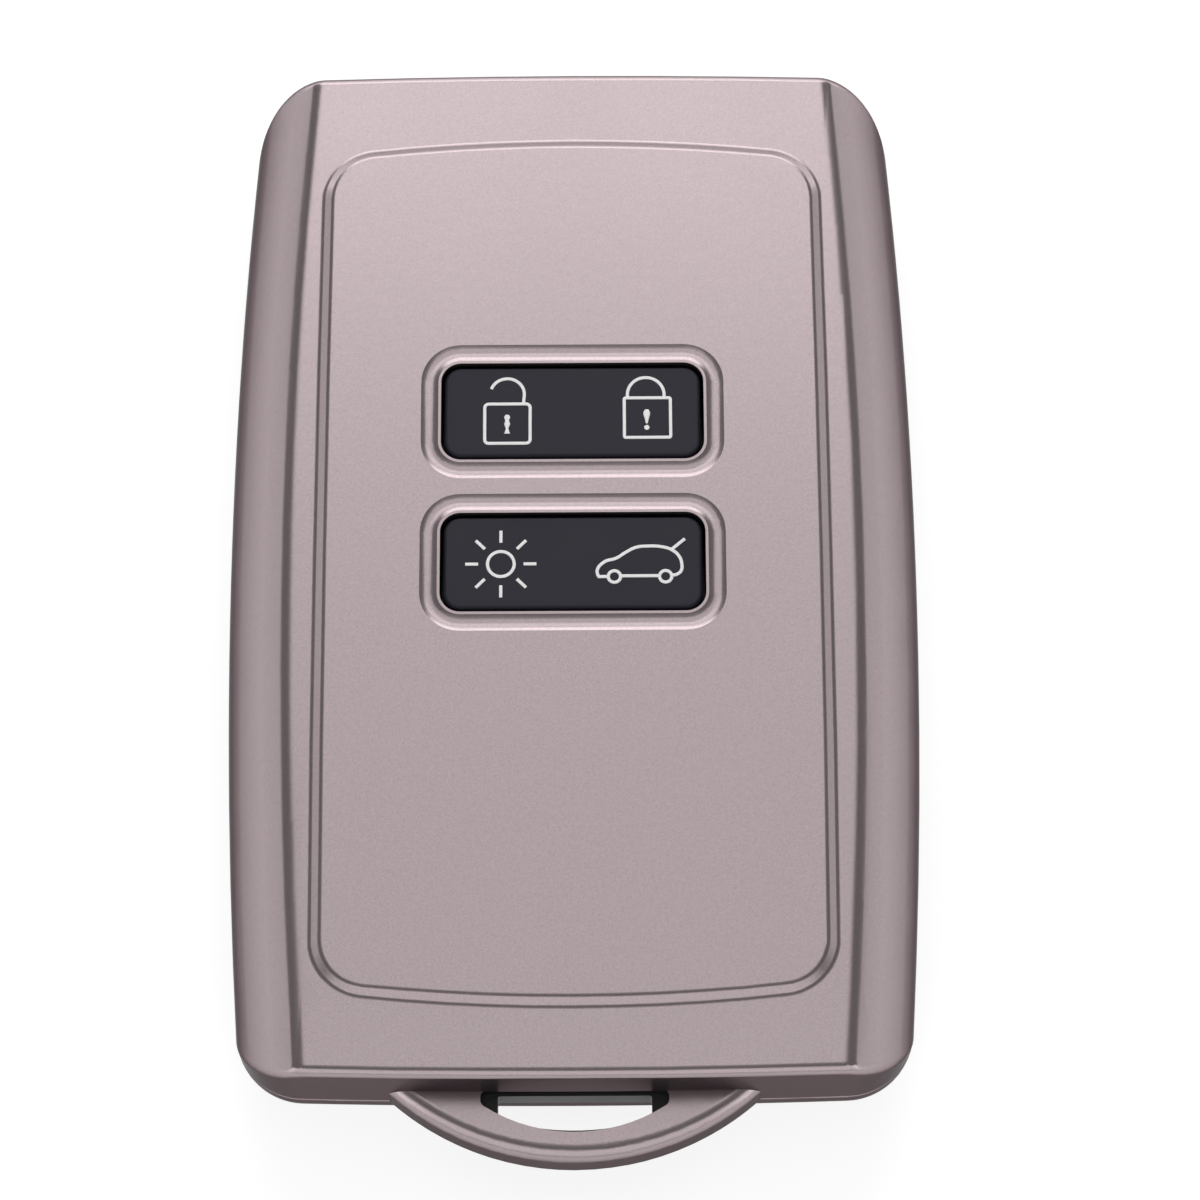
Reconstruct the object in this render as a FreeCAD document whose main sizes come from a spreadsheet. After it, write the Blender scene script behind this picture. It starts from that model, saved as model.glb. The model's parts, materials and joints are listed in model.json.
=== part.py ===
# Two-piece snap cover for a card-shaped car key, closed around the key that it protects.
# Millimetres. +Z comes out of the front face, +Y points to the top edge, and the cover lies on its
# back at Z = 0. Pieces are drawn about the middle of the cover's body, then placed so that the
# origin lies under the middle of the whole outline, lanyard tab included.
import FreeCAD, Part
import Sketcher
import os

doc = FreeCAD.newDocument("key_fob_cover")

# Driving sizes: name, value, meaning
SIZES = (
    ("body_width", 51.4, "cover width at mid length"),
    ("body_length", 78.4, "cover length without the tab"),
    ("side_radius", 470.0, "bow of the long sides"),
    ("end_radius", 700.0, "bow of the short ends"),
    ("corner_radius", 5.0, "plan corners"),
    ("front_height", 7.5, "seam to front face"),
    ("rear_height", 5.6, "back to seam"),
    ("cheek_width", 4.8, "curved side, seen from the front"),
    ("cheek_start", 0.6, "start of that curve below the seam"),
    ("crease_radius", 2.0, "soft crease between front face and cheek"),
    ("end_edge_radius", 0.8, "edge between front face and ends"),
    ("back_edge_radius", 4.6, "edge around the back"),
    ("seam_radius", 0.35, "edge of the rear shell along the seam"),
    ("wall", 1.3, "cover wall"),
    ("tongue_height", 1.2, "rim of the rear shell inside the front shell"),
    ("tongue_thickness", 0.55, "thickness of that rim"),
    ("snap_fit", 0.1, "clearance around the rim"),
    ("ridge_height", 0.22, "snap ridge out of the rim"),
    ("ridge_low", 0.4, "snap ridge above the seam"),
    ("ridge_band", 0.4, "snap ridge along Z"),
    ("ridge_length", 14.0, "length of a snap ridge"),
    ("ridge_place", 18.0, "snap ridges, from mid length"),
    ("panel_side_margin", 6.8, "foot of the raised panel from the cover's sides"),
    ("panel_top_margin", 5.8, "foot of the raised panel from the cover's top end"),
    ("panel_bottom_margin", 5.0, "foot of the raised panel from the cover's bottom end"),
    ("panel_side_bow", 2800.0, "bow of the panel's long sides"),
    ("panel_bow", 140.0, "bow of the panel's short ends"),
    ("panel_corner", 4.2, "panel corners"),
    ("panel_rise", 0.5, "panel above the front face"),
    ("panel_slope", 0.75, "width of the slope around the panel"),
    ("panel_edge_radius", 0.7, "upper edge of that slope"),
    ("panel_foot_radius", 0.7, "foot of that slope"),
    ("window_width", 19.45, "window over a button pad"),
    ("window_height", 7.7, "window over a button pad"),
    ("window_corner", 1.5, "window corners"),
    ("upper_window", 11.0, "upper window from mid length"),
    ("lower_window", -0.9, "lower window from mid length"),
    ("moat_depth", 0.14, "depth of the sunk border around a window"),
    ("moat_slope", 0.33, "width of the slopes of the sunk border"),
    ("moat_round", 1.4, "hollow between the floor of the sunk border and its slopes"),
    ("moat_flat", 0.05, "flat left between both hollows"),
    ("lip_width", 0.2, "flat top of the lip around a window"),
    ("tab_reach", 4.9, "lanyard tab beyond the body"),
    ("tab_radius", 20.0, "outline of the tab"),
    ("tab_front", 3.0, "tab above the seam"),
    ("tab_back", 1.0, "tab below the seam"),
    ("tab_plate", 0.8, "front and back plates of the tab"),
    ("tab_rim", 1.3, "outer wall of the tab"),
    ("tab_front_edge", 1.2, "front edge of the tab"),
    ("tab_back_edge", 0.5, "back edge of the tab"),
    ("slot_width", 13.4, "lanyard slot"),
    ("slot_reach", 2.9, "lanyard slot from the body's end"),
    ("slot_radius", 12.0, "curved side of the lanyard slot"),
    ("slot_corner", 0.5, "corners of the lanyard slot"),
    ("slot_bite", 0.15, "lanyard slot into the body's end wall"),
    ("key_fit", 0.15, "clearance between key and cover"),
    ("case_wall", 1.1, "wall of the key's case"),
    ("eye_fit", 0.15, "clearance around the ring eye"),
    ("eye_ring", 0.85, "ring of the eye outside its opening"),
    ("eye_bar", 0.1, "bar of the eye next to the body"),
    ("eye_opening", 11.0, "opening of the ring eye"),
    ("eye_corner", 0.2, "corners of that opening"),
    ("head_width", 24.0, "blade head inside the key"),
    ("head_depth", 8.0, "blade head, from the body's end inwards"),
    ("blade_width", 7.0, "emergency blade"),
    ("blade_length", 42.0, "emergency blade"),
    ("blade_thickness", 1.5, "emergency blade"),
    ("blade_place", 7.2, "blade from the centre line"),
    ("blade_corner", 1.5, "corners of the blade"),
    ("groove_width", 2.2, "milled groove of the blade"),
    ("groove_depth", 0.45, "depth of that groove"),
    ("groove_start", 4.4, "that groove from the blade's head"),
    ("rib_gap", 0.1, "blade above its rib"),
    ("rib_width", 3.5, "rib under the blade"),
    ("rib_length", 33.6, "rib under the blade"),
    ("pad_fit", 0.25, "clearance between button pad and window"),
    ("pad_recess", 0.2, "button pad below the lip"),
    ("pad_edge_radius", 0.3, "upper edge of a button pad"),
    ("pivot_radius", 0.45, "pivot pins of a button pad"),
    ("pivot_length", 1.0, "pivot pins of a button pad"),
    ("pivot_fit", 0.1, "clearance around the pivot pins"),
    ("frame_width", 27.0, "keypad frame"),
    ("frame_margin", 3.0, "keypad frame beyond the windows, along Y"),
    ("frame_thickness", 1.5, "keypad frame"),
    ("frame_corner", 1.5, "corners of the keypad frame"),
    ("contact_place", 5.2, "contacts from the centre line"),
    ("pill_radius", 1.6, "carbon pill"),
    ("pill_thickness", 0.35, "carbon pill"),
    ("contact_gap", 0.35, "carbon pill above its contact pad"),
    ("contact_radius", 1.8, "contact pad on the board"),
    ("contact_thickness", 0.05, "contact pad on the board"),
    ("board_side_gap", 2.6, "circuit board from the sides of the key's inside"),
    ("board_top_gap", 6.45, "circuit board from the top end of the key's inside"),
    ("board_bottom_gap", 8.45, "circuit board from the bottom end of the key's inside"),
    ("board_thickness", 1.0, "circuit board"),
    ("board_corner", 3.0, "corners of the circuit board"),
    ("post_radius", 1.5, "posts under the board"),
    ("post_inset", 3.0, "posts from the edges of the board"),
    ("cell_radius", 10.0, "coin cell"),
    ("cell_thickness", 3.2, "coin cell"),
    ("cap_radius", 8.9, "smaller end cap of the coin cell"),
    ("cap_height", 0.6, "smaller end cap of the coin cell"),
    ("cell_x", -8.0, "coin cell from the centre line"),
    ("cell_y", 8.0, "coin cell from mid length"),
    ("cell_fit", 0.2, "clearance around the coin cell"),
    ("seat_height", 0.3, "cell seat above the floor of the key"),
    ("nest_wall", 1.0, "ring around the coin cell"),
    ("nest_height", 2.3, "ring around the coin cell"),
    ("strip_thickness", 0.3, "contact strips of the cell"),
    ("strip_width", 3.0, "contact strips of the cell"),
    ("strip_length", 12.0, "strip on top of the cell"),
    ("chip_corner", 0.3, "corners of chips and antenna"),
    ("chip_width", 7.0, "controller chip"),
    ("chip_height", 0.65, "controller chip"),
    ("chip_x", -5.0, "controller chip from the centre line"),
    ("chip_y", 11.0, "controller chip from the lower end of the board"),
    ("radio_width", 4.0, "radio chip"),
    ("radio_height", 0.6, "radio chip"),
    ("radio_x", 7.0, "radio chip and crystal from the centre line"),
    ("radio_y", 13.5, "radio chip from the lower end of the board"),
    ("crystal_width", 3.2, "crystal can"),
    ("crystal_length", 2.5, "crystal can"),
    ("crystal_height", 0.6, "crystal can"),
    ("crystal_y", 7.0, "crystal can from the lower end of the board"),
    ("antenna_width", 11.0, "antenna block"),
    ("antenna_length", 12.0, "antenna block"),
    ("antenna_height", 3.2, "antenna block"),
    ("antenna_x", -8.0, "antenna block from the centre line"),
    ("antenna_y", 11.0, "antenna block from the lower end of the board"),
    ("overcut", 2.0, "how far a cutting shape passes the solid that it cuts"),
)

sheet = doc.addObject("Spreadsheet::Sheet", "sizes")
for row, (alias, value, meaning) in enumerate(SIZES, start=1):
    sheet.set(f"A{row}", alias)
    sheet.set(f"B{row}", str(value))
    sheet.setAlias(f"B{row}", alias)
    sheet.set(f"C{row}", meaning)
doc.recompute()

# Tolerance for telling edges apart, and rounds of settling a corner between two bows
CLOSE = 0.005
SETTLING_ROUNDS = 12

# Levels and places that several pieces share, worked out from the driving sizes
SEAM = "sizes.rear_height"
BELOW_SEAM = "(sizes.rear_height - sizes.overcut)"
FACE = "(sizes.rear_height + sizes.front_height)"
PANEL_TOP = f"({FACE} + sizes.panel_rise)"
BODY_END = "(sizes.body_length / 2)"
PANEL_WIDE = "(sizes.body_width / 2 - sizes.panel_side_margin)"
PANEL_LONG = f"({BODY_END} - (sizes.panel_bottom_margin + sizes.panel_top_margin) / 2)"
PANEL_SHIFT = "((sizes.panel_bottom_margin - sizes.panel_top_margin) / 2)"
CHEEK_LOW = f"({SEAM} - sizes.cheek_start)"
CHEEK_HEIGHT = "(sizes.front_height + sizes.cheek_start)"
CHEEK_RADIUS = f"((sizes.cheek_width ^ 2 + {CHEEK_HEIGHT} ^ 2) / (2 * sizes.cheek_width))"
BODY_ANGLE = f"(2 * asin({BODY_END} / sizes.side_radius))"
TAB_CENTRE = f"(sizes.tab_radius - {BODY_END} - sizes.tab_reach)"
EYE_LOW = f"({SEAM} - sizes.tab_back + sizes.tab_plate + sizes.eye_fit)"
EYE_HIGH = f"({SEAM} + sizes.tab_front - sizes.tab_plate - sizes.eye_fit)"
EYE_RADIUS = "(sizes.tab_radius - sizes.tab_rim - sizes.eye_fit)"
KEY = "(sizes.wall + sizes.key_fit)"
KEY_INSIDE = "(sizes.wall + sizes.key_fit + sizes.case_wall)"
CEILING = f"({FACE} - {KEY_INSIDE})"
PAD_LOW = f"({CEILING} - sizes.frame_thickness)"
PIVOT = f"({CEILING} - sizes.pivot_radius - sizes.pivot_fit)"
PILL_LOW = f"({PAD_LOW} - sizes.pill_thickness)"
CONTACT_LOW = f"({PILL_LOW} - sizes.contact_gap - sizes.contact_thickness)"
BOARD_LOW = f"({CONTACT_LOW} - sizes.board_thickness)"
BOARD_WIDTH = f"(sizes.body_width - 2 * {KEY_INSIDE} - 2 * sizes.board_side_gap)"
BOARD_TOP = f"({BODY_END} - {KEY_INSIDE} - sizes.board_top_gap)"
BOARD_BOTTOM = f"({KEY_INSIDE} + sizes.board_bottom_gap - {BODY_END})"
STRIP_LOW = f"({KEY_INSIDE} + sizes.seat_height)"
CELL_LOW = f"({STRIP_LOW} + sizes.strip_thickness)"
CELL_HIGH = f"({CELL_LOW} + sizes.cell_thickness)"
HEAD_INNER = f"(sizes.head_depth - {BODY_END})"
WINDOWS = {"upper": "sizes.upper_window", "lower": "sizes.lower_window"}

pieces = []


def number(expression):
    return float(sheet.evalExpression(expression))


def bind(thing, **expressions):
    for name, expression in expressions.items():
        thing.setExpression(name, expression)


def put(thing, x, y, z):
    for axis, expression in zip("xyz", (x, y, z)):
        thing.setExpression(f"Placement.Base.{axis}", expression)


# Name a finished sub-part and place it about the middle of the whole outline
def piece(label, thing):
    thing.Label = label
    thing.setExpression("Placement.Base.y", "sizes.tab_reach / 2")
    pieces.append(thing)


# Box placed by the middle of its base
def box(name, length, width, height, x, y, z):
    solid = doc.addObject("Part::Box", name)
    bind(solid, Length=length, Width=width, Height=height)
    put(solid, f"{x} - ({length}) / 2", f"{y} - ({width}) / 2", z)
    return solid


# Upright cylinder placed by the middle of its base
def cylinder(name, radius, height, x, y, z):
    solid = doc.addObject("Part::Cylinder", name)
    bind(solid, Radius=radius, Height=height)
    put(solid, x, y, z)
    return solid


def cut(name, base, tool):
    result = doc.addObject("Part::Cut", name)
    result.Base = base
    result.Tool = tool
    return result


def fuse(name, *solids):
    result = doc.addObject("Part::MultiFuse", name)
    result.Shapes = list(solids)
    return result


def common(name, *solids):
    result = doc.addObject("Part::MultiCommon", name)
    result.Shapes = list(solids)
    return result


def group(name, *solids):
    result = doc.addObject("Part::Compound", name)
    result.Links = list(solids)
    return result


def origin_plane(body, role):
    return next(item for item in body.Origin.OriginFeatures if item.Role == role)


def new_sketch(body, name, role, **offset):
    sketch = body.newObject("Sketcher::SketchObject", name)
    sketch.AttachmentSupport = [(origin_plane(body, role), "")]
    sketch.MapMode = "FlatFace"
    for axis, expression in offset.items():
        sketch.setExpression(f"AttachmentOffset.Base.{axis}", expression)
    return sketch


# Add a named dimension to a sketch and bind it to the driving sizes
def dimension(sketch, name, expression, kind, *points):
    index = sketch.addConstraint(Sketcher.Constraint(kind, *points, number(expression)))
    sketch.renameConstraint(index, name)
    sketch.setExpression(f"Constraints.{name}", expression)


# Join the curves of a sketch end to end: curve, its end, next curve, its start
def join(sketch, *links):
    for link in links:
        sketch.addConstraint(Sketcher.Constraint("Coincident", *link))


# Close a ring of curves with smooth joints
def blend(sketch, count):
    for curve in range(count):
        sketch.addConstraint(Sketcher.Constraint("Tangent", curve, 2, (curve + 1) % count, 1))


def line(start, end):
    return Part.LineSegment(FreeCAD.Vector(*start, 0), FreeCAD.Vector(*end, 0))


# Arc about a centre, drawn anticlockwise from one point to another
def arc(centre, start, end):
    middle = FreeCAD.Vector(*centre, 0)
    spokes = [FreeCAD.Vector(*point, 0) - middle for point in (start, end)]
    angles = [FreeCAD.Vector(1, 0, 0).getAngle(spoke) * (1 if spoke.y >= 0 else -1) for spoke in spokes]
    circle = Part.Circle(middle, FreeCAD.Vector(0, 0, 1), spokes[0].Length)
    return Part.ArcOfCircle(circle, *angles)


# Corner where a side arc and an end arc, both centred on the axes, meet in the first quadrant
def bowed_corner(half_width, half_length, side_radius, end_radius):
    x = half_width
    for step in range(SETTLING_ROUNDS):
        y = half_length - end_radius + (end_radius**2 - x**2) ** 0.5
        x = half_width - side_radius + (side_radius**2 - y**2) ** 0.5
    return x, y


# Outline of bowed sides and ends with round corners, symmetrical about both axes
def bowed_outline(sketch, half_width, half_length, side_radius, end_radius, corner):
    texts = (half_width, half_length, side_radius, end_radius, corner)
    wide, long, side, end, turn = (number(text) for text in texts)
    x, y = bowed_corner(wide - turn, long - turn, side - turn, end - turn)
    side_stretch = side / (side - turn)
    end_stretch = end / (end - turn)
    side_x, side_y = wide - side + (x - wide + side) * side_stretch, y * side_stretch
    end_x, end_y = x * end_stretch, long - end + (y - long + end) * end_stretch
    sketch.addGeometry(arc((wide - side, 0), (side_x, -side_y), (side_x, side_y)))
    sketch.addGeometry(arc((x, y), (side_x, side_y), (end_x, end_y)))
    sketch.addGeometry(arc((0, long - end), (end_x, end_y), (-end_x, end_y)))
    sketch.addGeometry(arc((-x, y), (-end_x, end_y), (-side_x, side_y)))
    sketch.addGeometry(arc((side - wide, 0), (-side_x, side_y), (-side_x, -side_y)))
    sketch.addGeometry(arc((-x, -y), (-side_x, -side_y), (-end_x, -end_y)))
    sketch.addGeometry(arc((0, end - long), (-end_x, -end_y), (end_x, -end_y)))
    sketch.addGeometry(arc((x, -y), (end_x, -end_y), (side_x, -side_y)))
    blend(sketch, 8)
    for curve, axis in ((0, -1), (2, -2), (4, -1), (6, -2)):
        sketch.addConstraint(Sketcher.Constraint("PointOnObject", curve, 3, axis))
    side_centre = f"{side_radius} - ({half_width})"
    end_centre = f"{end_radius} - ({half_length})"
    dimension(sketch, "right_centre", side_centre, "DistanceX", 0, 3, -1, 1)
    dimension(sketch, "top_centre", end_centre, "DistanceY", 2, 3, -1, 1)
    dimension(sketch, "left_centre", side_centre, "DistanceX", -1, 1, 4, 3)
    dimension(sketch, "bottom_centre", end_centre, "DistanceY", -1, 1, 6, 3)
    for curve, radius in enumerate((side_radius, corner, end_radius, corner) * 2):
        dimension(sketch, f"radius_{curve}", radius, "Radius", curve)


# Rectangle with round corners, placed by its middle
def rounded_rectangle(sketch, width, height, corner, x, y):
    left, low = number(f"{x} - ({width}) / 2"), number(f"{y} - ({height}) / 2")
    right, high = left + number(width), low + number(height)
    turn = number(corner)
    sketch.addGeometry(line((left + turn, low), (right - turn, low)))
    sketch.addGeometry(arc((right - turn, low + turn), (right - turn, low), (right, low + turn)))
    sketch.addGeometry(line((right, low + turn), (right, high - turn)))
    sketch.addGeometry(arc((right - turn, high - turn), (right, high - turn), (right - turn, high)))
    sketch.addGeometry(line((right - turn, high), (left + turn, high)))
    sketch.addGeometry(arc((left + turn, high - turn), (left + turn, high), (left, high - turn)))
    sketch.addGeometry(line((left, high - turn), (left, low + turn)))
    sketch.addGeometry(arc((left + turn, low + turn), (left, low + turn), (left + turn, low)))
    blend(sketch, 8)
    for curve, kind in ((0, "Horizontal"), (2, "Vertical"), (4, "Horizontal"), (6, "Vertical")):
        sketch.addConstraint(Sketcher.Constraint(kind, curve))
        dimension(sketch, f"corner_{curve}", corner, "Radius", curve + 1)
    dimension(sketch, "width", width, "DistanceX", 6, 1, 2, 1)
    dimension(sketch, "height", height, "DistanceY", 0, 1, 4, 1)
    dimension(sketch, "left", f"{x} - ({width}) / 2", "DistanceX", -1, 1, 6, 1)
    dimension(sketch, "low", f"{y} - ({height}) / 2", "DistanceY", -1, 1, 0, 1)


def pad(body, sketch, name, length, taper="0"):
    feature = body.newObject("PartDesign::Pad", name)
    feature.Profile = sketch
    bind(feature, Length=length, TaperAngle=taper)
    return feature


# Round the edges of a feature that a test chooses
def round_edges(body, feature, name, radius, chosen):
    doc.recompute()
    edges = [f"Edge{index}" for index, edge in enumerate(feature.Shape.Edges, 1) if chosen(edge)]
    rounded = body.newObject("PartDesign::Fillet", name)
    rounded.Base = (feature, edges)
    rounded.setExpression("Radius", radius)
    return rounded


def is_upright(edge):
    return max(edge.BoundBox.XLength, edge.BoundBox.YLength) < CLOSE


def at_level(level):
    height = number(level)
    return lambda edge: max(abs(edge.BoundBox.ZMin - height), abs(edge.BoundBox.ZMax - height)) < CLOSE


# Rounded plate or block with upright sides, placed by the middle of its base
def plate(name, width, height, corner, x, y, low, thickness):
    body = doc.addObject("PartDesign::Body", name)
    sketch = new_sketch(body, f"{name}_sketch", "XY_Plane", z=low)
    rounded_rectangle(sketch, width, height, corner, x, y)
    pad(body, sketch, f"{name}_pad", thickness)
    return body


# Block of the cover's plan outline, inset by a wall
def outline_block(body, name, inset, low, height):
    sketch = new_sketch(body, f"{name}_plan", "XY_Plane", z=low)
    bowed_outline(
        sketch,
        f"(sizes.body_width / 2 - {inset})",
        f"({BODY_END} - {inset})",
        f"(sizes.side_radius - {inset})",
        f"(sizes.end_radius - {inset})",
        f"(sizes.corner_radius - {inset})",
    )
    return pad(body, sketch, f"{name}_block", height)


# Area above the front face and outside one cheek with its soft crease, in a plane through the axis
# about which the side is bowed
def cheek_profile(sketch, inset):
    centre_x = f"(sizes.side_radius - {CHEEK_RADIUS})"
    radius = f"({CHEEK_RADIUS} - {inset})"
    crease = f"max(sizes.crease_radius - {inset}; sizes.end_edge_radius)"
    face = f"({FACE} - {inset})"
    high = f"({FACE} + 2 * sizes.overcut)"
    inside = "(sizes.side_radius - sizes.body_width - sizes.overcut)"
    outside = "(sizes.side_radius + sizes.overcut)"
    middle, low, turn, soft = (number(text) for text in (centre_x, CHEEK_LOW, radius, crease))
    crease_z = number(face) - soft
    crease_x = middle + ((turn - soft) ** 2 - (crease_z - low) ** 2) ** 0.5
    stretch = turn / (turn - soft)
    meeting = (middle + (crease_x - middle) * stretch, low + (crease_z - low) * stretch)
    corners = (
        (crease_x, number(face)),
        (number(inside), number(face)),
        (number(inside), number(high)),
        (number(outside), number(high)),
        (number(outside), low),
        (middle + turn, low),
    )
    sketch.addGeometry(arc((middle, low), corners[-1], meeting))
    sketch.addGeometry(arc((crease_x, crease_z), meeting, corners[0]))
    for near, far in zip(corners, corners[1:]):
        sketch.addGeometry(line(near, far))
    sketch.addConstraint(Sketcher.Constraint("Tangent", 0, 2, 1, 1))
    join(sketch, (1, 2, 2, 1), (2, 2, 3, 1), (3, 2, 4, 1), (4, 2, 5, 1), (5, 2, 6, 1), (6, 2, 0, 1))
    for curve, kind in zip(range(2, 7), ("Horizontal", "Vertical", "Horizontal", "Vertical", "Horizontal")):
        sketch.addConstraint(Sketcher.Constraint(kind, curve))
    sketch.addConstraint(Sketcher.Constraint("Vertical", 1, 3, 1, 2))
    dimension(sketch, "centre_x", centre_x, "DistanceX", -1, 1, 0, 3)
    dimension(sketch, "centre_z", CHEEK_LOW, "DistanceY", -1, 1, 0, 3)
    dimension(sketch, "radius", radius, "Radius", 0)
    dimension(sketch, "low", CHEEK_LOW, "DistanceY", -1, 1, 0, 1)
    dimension(sketch, "crease", crease, "Radius", 1)
    dimension(sketch, "face", face, "DistanceY", -1, 1, 1, 2)
    dimension(sketch, "inside", inside, "DistanceX", -1, 1, 3, 1)
    dimension(sketch, "high", high, "DistanceY", -1, 1, 3, 2)
    dimension(sketch, "outside", outside, "DistanceX", -1, 1, 5, 1)


# Front half of the form, inset by a wall: the plan block with front face and both cheeks turned off it.
# The turn is twice the angle of the body, so that it passes both ends.
def front_form(name, inset, low):
    body = doc.addObject("PartDesign::Body", name)
    outline_block(body, name, inset, low, f"{FACE} - {inset} + sizes.overcut - {low}")
    sketch = new_sketch(body, f"{name}_cheek", "XZ_Plane", x="sizes.body_width / 2 - sizes.side_radius")
    cheek_profile(sketch, inset)
    doc.recompute()
    groove = body.newObject("PartDesign::Groove", f"{name}_right_cheek")
    groove.Profile = sketch
    groove.ReferenceAxis = (sketch, ["V_Axis"])
    groove.Midplane = True
    groove.setExpression("Angle", f"2 * {BODY_ANGLE}")
    doc.recompute()
    mirror = body.newObject("PartDesign::Mirrored", f"{name}_left_cheek")
    mirror.Originals = [groove]
    mirror.MirrorPlane = (origin_plane(body, "YZ_Plane"), [""])
    body.Tip = mirror
    return body


# Rear half of the form, inset by a wall
def rear_form(name, inset, height):
    body = doc.addObject("PartDesign::Body", name)
    block = outline_block(body, name, inset, inset, height)
    radius = f"max(sizes.back_edge_radius - {inset}; sizes.end_edge_radius)"
    round_edges(body, block, f"{name}_back_edge", radius, at_level(inset))
    return body


# Block of the tab's outline, from a chord inside the body to the tab's arc
def tab_form(name, radius, chord, low, height):
    body = doc.addObject("PartDesign::Body", name)
    sketch = new_sketch(body, f"{name}_sketch", "XY_Plane", z=low)
    centre, turn, level = number(TAB_CENTRE), number(radius), number(chord)
    reach = (turn**2 - (level - centre) ** 2) ** 0.5
    sketch.addGeometry(arc((0, centre), (-reach, level), (reach, level)))
    sketch.addGeometry(line((reach, level), (-reach, level)))
    join(sketch, (0, 2, 1, 1), (1, 2, 0, 1))
    sketch.addConstraint(Sketcher.Constraint("PointOnObject", 0, 3, -2))
    sketch.addConstraint(Sketcher.Constraint("Horizontal", 1))
    dimension(sketch, "centre", f"-{TAB_CENTRE}", "DistanceY", 0, 3, -1, 1)
    dimension(sketch, "radius", radius, "Radius", 0)
    dimension(sketch, "chord", f"-({chord})", "DistanceY", 1, 1, -1, 1)
    pad(body, sketch, f"{name}_pad", height)
    return body


# Half of the tab, with its outer edge rounded
def tab_half(name, low, height, edge_level, edge_radius):
    body = tab_form(name, "sizes.tab_radius", f"sizes.wall / 2 - {BODY_END}", low, height)
    is_outer = lambda edge: at_level(edge_level)(edge) and edge.Curve.TypeId == "Part::GeomCircle"
    round_edges(body, body.Tip, f"{name}_edge", edge_radius, is_outer)
    return body


# Slot with a straight side towards the body and a curved side away from it
def slot_form(name, width, radius, corner, centre, top, low, height):
    body = doc.addObject("PartDesign::Body", name)
    sketch = new_sketch(body, f"{name}_sketch", "XY_Plane", z=low)
    half, turn, middle, high = (number(text) for text in (f"{width} / 2", radius, centre, top))
    foot = middle - (turn**2 - half**2) ** 0.5
    sketch.addGeometry(arc((0, middle), (-half, foot), (half, foot)))
    sketch.addGeometry(line((half, foot), (half, high)))
    sketch.addGeometry(line((half, high), (-half, high)))
    sketch.addGeometry(line((-half, high), (-half, foot)))
    join(sketch, (0, 2, 1, 1), (1, 2, 2, 1), (2, 2, 3, 1), (3, 2, 0, 1))
    for curve, kind in ((1, "Vertical"), (2, "Horizontal"), (3, "Vertical")):
        sketch.addConstraint(Sketcher.Constraint(kind, curve))
    sketch.addConstraint(Sketcher.Constraint("PointOnObject", 0, 3, -2))
    dimension(sketch, "centre", f"-({centre})", "DistanceY", 0, 3, -1, 1)
    dimension(sketch, "radius", radius, "Radius", 0)
    dimension(sketch, "top", f"-({top})", "DistanceY", 1, 2, -1, 1)
    dimension(sketch, "right", f"{width} / 2", "DistanceX", -1, 1, 1, 1)
    dimension(sketch, "left", f"{width} / 2", "DistanceX", 3, 1, -1, 1)
    block = pad(body, sketch, f"{name}_pad", height)
    round_edges(body, block, f"{name}_corners", corner, is_upright)
    return body


# Cylinder lying along Y across a window, centred on the pivot axis of its button pad
def pivot_form(name, radius, length, window):
    solid = doc.addObject("Part::Cylinder", name)
    bind(solid, Radius=radius, Height=length)
    solid.Placement.Rotation = FreeCAD.Rotation(FreeCAD.Vector(1, 0, 0), -90)
    put(solid, "0", f"{window} - ({length}) / 2", PIVOT)
    return solid


# Four short stretches of the rim's outline, for the snap ridges and for their grooves
def snap_form(name, inset, low, height, length):
    ring = doc.addObject("PartDesign::Body", f"{name}_ring")
    outline_block(ring, f"{name}_ring", inset, low, height)
    strips = [
        box(f"{name}_{side}", "sizes.body_width", length, height, "0", place, low)
        for side, place in (("top", "sizes.ridge_place"), ("bottom", "-sizes.ridge_place"))
    ]
    return common(name, ring, fuse(f"{name}_strips", *strips))


# Openings that several pieces share: the windows, the room for the ring eye and the lanyard slot
def window_form(name, window):
    low = f"({PAD_LOW} - sizes.overcut)"
    return plate(
        name, "sizes.window_width", "sizes.window_height", "sizes.window_corner", "0", window,
        low, f"{PANEL_TOP} + sizes.overcut - {low}",
    )


windows = fuse("windows", *[window_form(f"{side}_window", place) for side, place in WINDOWS.items()])
eye_room = tab_form(
    "eye_room",
    f"{EYE_RADIUS} + sizes.eye_fit",
    f"{KEY_INSIDE} + sizes.overcut - {BODY_END}",
    f"{EYE_LOW} - sizes.eye_fit",
    f"{EYE_HIGH} - {EYE_LOW} + 2 * sizes.eye_fit",
)
lanyard_slot = slot_form(
    "lanyard_slot",
    "sizes.slot_width",
    "sizes.slot_radius",
    "sizes.slot_corner",
    f"(sizes.slot_radius - {BODY_END} - sizes.slot_reach)",
    f"(sizes.slot_bite - {BODY_END})",
    f"({SEAM} - sizes.tab_back - sizes.overcut)",
    "sizes.tab_back + sizes.tab_front + sizes.overcut",
)


def on_panel(edge):
    middle = edge.BoundBox.Center
    across = abs(middle.x) < number(PANEL_WIDE) + CLOSE
    return across and abs(middle.y - number(PANEL_SHIFT)) < number(PANEL_LONG) + CLOSE


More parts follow.
